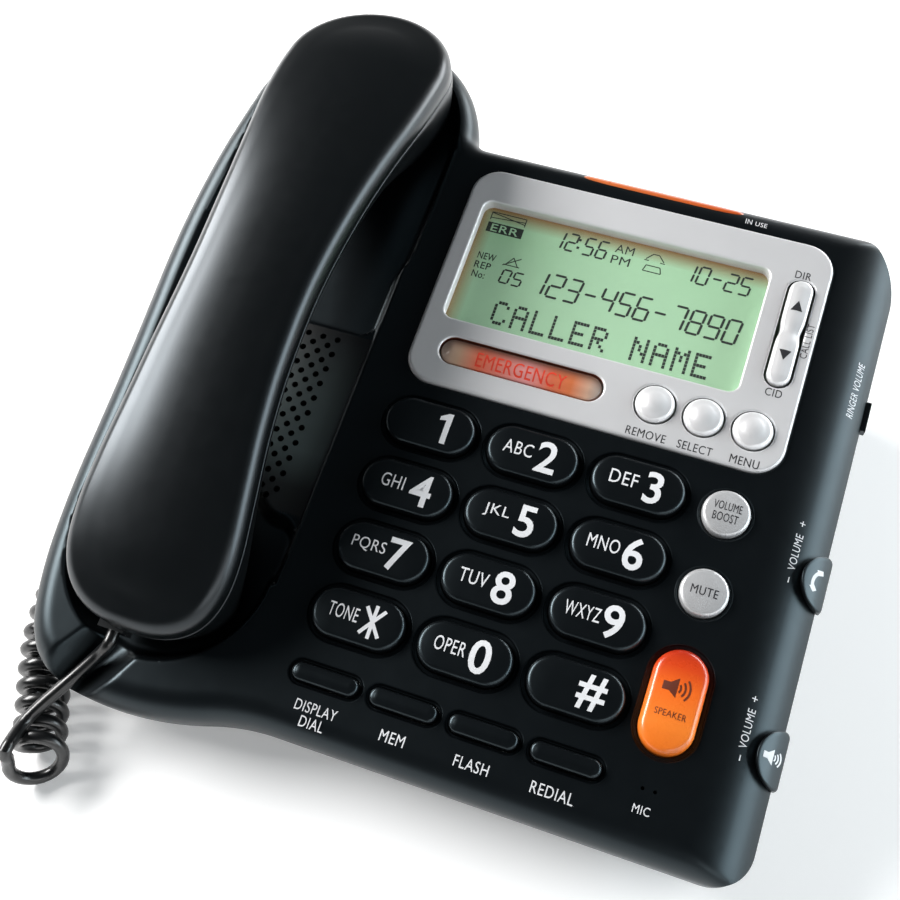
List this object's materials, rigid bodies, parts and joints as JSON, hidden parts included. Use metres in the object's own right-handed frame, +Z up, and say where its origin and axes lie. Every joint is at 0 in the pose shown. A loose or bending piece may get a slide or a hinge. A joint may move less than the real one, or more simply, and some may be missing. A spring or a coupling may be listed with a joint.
{
  "type": "corded telephone",
  "caption": "Corded desk telephone: a sloped base with a keypad and a framed display, and a handset in a cradle on a curly cord.",
  "frame": {"origin": "on the desk, at the middle of the box round the base and the handset, without the cord", "axes": "+X to the telephone's right, +Y to its back, +Z up"},
  "size_m": [0.2167, 0.2433, 0.1012],
  "materials": {
    "black_plastic": "satin moulded",
    "key_plastic": "satin moulded",
    "silver_plastic": "silver paint",
    "orange_plastic": "moulded",
    "pale_orange_plastic": "translucent moulded",
    "amber_plastic": "translucent moulded",
    "clear_lens": "clear",
    "display_glass": "liquid crystal glass",
    "white_plastic": "moulded",
    "board_laminate": "solder mask",
    "membrane_rubber": "moulded",
    "foot_rubber": "moulded",
    "screw_steel": "plated",
    "speaker_steel": "plain",
    "socket_plastic": "moulded",
    "plug_plastic": "clear moulded",
    "cord_vinyl": "smooth vinyl"
  },
  "bodies": {
    "base": {"top_housing": "black_plastic", "bottom_housing": "black_plastic", "rubber_feet": "foot_rubber", "housing_screws": "screw_steel", "display_bezel": "silver_plastic", "display_lens": "clear_lens", "lcd_panel": "display_glass", "lcd_backlight": "white_plastic", "main_board": "board_laminate", "keypad_membrane": "membrane_rubber", "in_use_lens": "amber_plastic", "hook_switch": "socket_plastic", "volume_controls": "socket_plastic", "ringer_switch": "socket_plastic", "loudspeaker": "speaker_steel", "base_microphone": "speaker_steel", "line_socket": "socket_plastic", "cord_socket": "socket_plastic", "base_plug": "plug_plastic", "base_lead": "cord_vinyl", "coiled_cord": "cord_vinyl", "handset_lead": "cord_vinyl"},
    "handset": {"handset_back_shell": "black_plastic", "handset_front_shell": "black_plastic", "handset_receiver": "speaker_steel", "handset_microphone": "speaker_steel", "handset_socket": "socket_plastic", "handset_screws": "screw_steel", "handset_plug": "plug_plastic"},
    "key_1_body": {"key_1": "key_plastic"},
    "key_2_body": {"key_2": "key_plastic"},
    "key_3_body": {"key_3": "key_plastic"},
    "key_4_body": {"key_4": "key_plastic"},
    "key_5_body": {"key_5": "key_plastic"},
    "key_6_body": {"key_6": "key_plastic"},
    "key_7_body": {"key_7": "key_plastic"},
    "key_8_body": {"key_8": "key_plastic"},
    "key_9_body": {"key_9": "key_plastic"},
    "key_star_body": {"key_star": "key_plastic"},
    "key_0_body": {"key_0": "key_plastic"},
    "key_hash_body": {"key_hash": "key_plastic"},
    "display_dial_key_body": {"display_dial_key": "key_plastic"},
    "memory_key_body": {"memory_key": "key_plastic"},
    "flash_key_body": {"flash_key": "key_plastic"},
    "redial_key_body": {"redial_key": "key_plastic"},
    "volume_boost_key_body": {"volume_boost_key": "silver_plastic"},
    "mute_key_body": {"mute_key": "silver_plastic"},
    "speaker_key_body": {"speaker_key": "orange_plastic"},
    "remove_key_body": {"remove_key": "silver_plastic"},
    "select_key_body": {"select_key": "silver_plastic"},
    "menu_key_body": {"menu_key": "silver_plastic"},
    "emergency_key_body": {"emergency_key": "pale_orange_plastic"},
    "rocker_body": {"call_list_rocker": "silver_plastic"},
    "handset_volume_body": {"handset_volume_slider": "key_plastic"},
    "speaker_volume_body": {"speaker_volume_slider": "key_plastic"},
    "ringer_body": {"ringer_slider": "key_plastic"},
    "hook_body": {"hook_plunger": "key_plastic"}
  },
  "joints": [
    {"name": "key_1_press", "type": "slide", "parent": "base", "child": "key_1_body", "axis": [0, 0.2689, -0.9632], "range_m": [0, 0.0015], "stiffness_N_per_m": 500},
    {"name": "key_2_press", "type": "slide", "parent": "base", "child": "key_2_body", "axis": [0, 0.2689, -0.9632], "range_m": [0, 0.0015], "stiffness_N_per_m": 500},
    {"name": "key_3_press", "type": "slide", "parent": "base", "child": "key_3_body", "axis": [0, 0.2689, -0.9632], "range_m": [0, 0.0015], "stiffness_N_per_m": 500},
    {"name": "key_4_press", "type": "slide", "parent": "base", "child": "key_4_body", "axis": [0, 0.2689, -0.9632], "range_m": [0, 0.0015], "stiffness_N_per_m": 500},
    {"name": "key_5_press", "type": "slide", "parent": "base", "child": "key_5_body", "axis": [0, 0.2689, -0.9632], "range_m": [0, 0.0015], "stiffness_N_per_m": 500},
    {"name": "key_6_press", "type": "slide", "parent": "base", "child": "key_6_body", "axis": [0, 0.2689, -0.9632], "range_m": [0, 0.0015], "stiffness_N_per_m": 500},
    {"name": "key_7_press", "type": "slide", "parent": "base", "child": "key_7_body", "axis": [0, 0.2689, -0.9632], "range_m": [0, 0.0015], "stiffness_N_per_m": 500},
    {"name": "key_8_press", "type": "slide", "parent": "base", "child": "key_8_body", "axis": [0, 0.2689, -0.9632], "range_m": [0, 0.0015], "stiffness_N_per_m": 500},
    {"name": "key_9_press", "type": "slide", "parent": "base", "child": "key_9_body", "axis": [0, 0.2689, -0.9632], "range_m": [0, 0.0015], "stiffness_N_per_m": 500},
    {"name": "key_star_press", "type": "slide", "parent": "base", "child": "key_star_body", "axis": [0, 0.2689, -0.9632], "range_m": [0, 0.0015], "stiffness_N_per_m": 500},
    {"name": "key_0_press", "type": "slide", "parent": "base", "child": "key_0_body", "axis": [0, 0.2689, -0.9632], "range_m": [0, 0.0015], "stiffness_N_per_m": 500},
    {"name": "key_hash_press", "type": "slide", "parent": "base", "child": "key_hash_body", "axis": [0, 0.2689, -0.9632], "range_m": [0, 0.0015], "stiffness_N_per_m": 500},
    {"name": "display_dial_key_press", "type": "slide", "parent": "base", "child": "display_dial_key_body", "axis": [0, 0.2689, -0.9632], "range_m": [0, 0.0015], "stiffness_N_per_m": 500},
    {"name": "memory_key_press", "type": "slide", "parent": "base", "child": "memory_key_body", "axis": [0, 0.2689, -0.9632], "range_m": [0, 0.0015], "stiffness_N_per_m": 500},
    {"name": "flash_key_press", "type": "slide", "parent": "base", "child": "flash_key_body", "axis": [0, 0.2689, -0.9632], "range_m": [0, 0.0015], "stiffness_N_per_m": 500},
    {"name": "redial_key_press", "type": "slide", "parent": "base", "child": "redial_key_body", "axis": [0, 0.2689, -0.9632], "range_m": [0, 0.0015], "stiffness_N_per_m": 500},
    {"name": "volume_boost_key_press", "type": "slide", "parent": "base", "child": "volume_boost_key_body", "axis": [0, 0.2689, -0.9632], "range_m": [0, 0.0015], "stiffness_N_per_m": 500},
    {"name": "mute_key_press", "type": "slide", "parent": "base", "child": "mute_key_body", "axis": [0, 0.2689, -0.9632], "range_m": [0, 0.0015], "stiffness_N_per_m": 500},
    {"name": "speaker_key_press", "type": "slide", "parent": "base", "child": "speaker_key_body", "axis": [0, 0.2689, -0.9632], "range_m": [0, 0.0015], "stiffness_N_per_m": 500},
    {"name": "remove_key_press", "type": "slide", "parent": "base", "child": "remove_key_body", "axis": [0, 0.2689, -0.9632], "range_m": [0, 0.0015], "stiffness_N_per_m": 500},
    {"name": "select_key_press", "type": "slide", "parent": "base", "child": "select_key_body", "axis": [0, 0.2689, -0.9632], "range_m": [0, 0.0015], "stiffness_N_per_m": 500},
    {"name": "menu_key_press", "type": "slide", "parent": "base", "child": "menu_key_body", "axis": [0, 0.2689, -0.9632], "range_m": [0, 0.0015], "stiffness_N_per_m": 500},
    {"name": "emergency_key_press", "type": "slide", "parent": "base", "child": "emergency_key_body", "axis": [0, 0.2689, -0.9632], "range_m": [0, 0.0015], "stiffness_N_per_m": 500},
    {"name": "call_list_rock", "type": "hinge", "parent": "base", "child": "rocker_body", "pos_m": [0.0779, 0.04016, 0.0641], "axis": [1, 0, 0], "range_deg": [-4, 4], "stiffness_Nm_per_rad": 0.2},
    {"name": "handset_volume_slide", "type": "slide", "parent": "base", "child": "handset_volume_body", "axis": [0, 0.9632, 0.2689], "range_m": [0, 0.015]},
    {"name": "speaker_volume_slide", "type": "slide", "parent": "base", "child": "speaker_volume_body", "axis": [0, 0.9632, 0.2689], "range_m": [0, 0.015]},
    {"name": "ringer_slide", "type": "slide", "parent": "base", "child": "ringer_body", "axis": [0, -0.9632, -0.2689], "range_m": [0, 0.008]},
    {"name": "handset_lift", "type": "slide", "parent": "base", "child": "handset", "axis": [0, -0.2689, 0.9632], "range_m": [0, 0.08], "deforming": ["handset_lead"]},
    {"name": "hook_rise", "type": "slide", "parent": "base", "child": "hook_body", "axis": [0, -0.2689, 0.9632], "range_m": [0, 0.004]}
  ],
  "couplings": [
    {"joint": "hook_rise", "follows": "handset_lift", "ratio": 0.05}
  ]
}
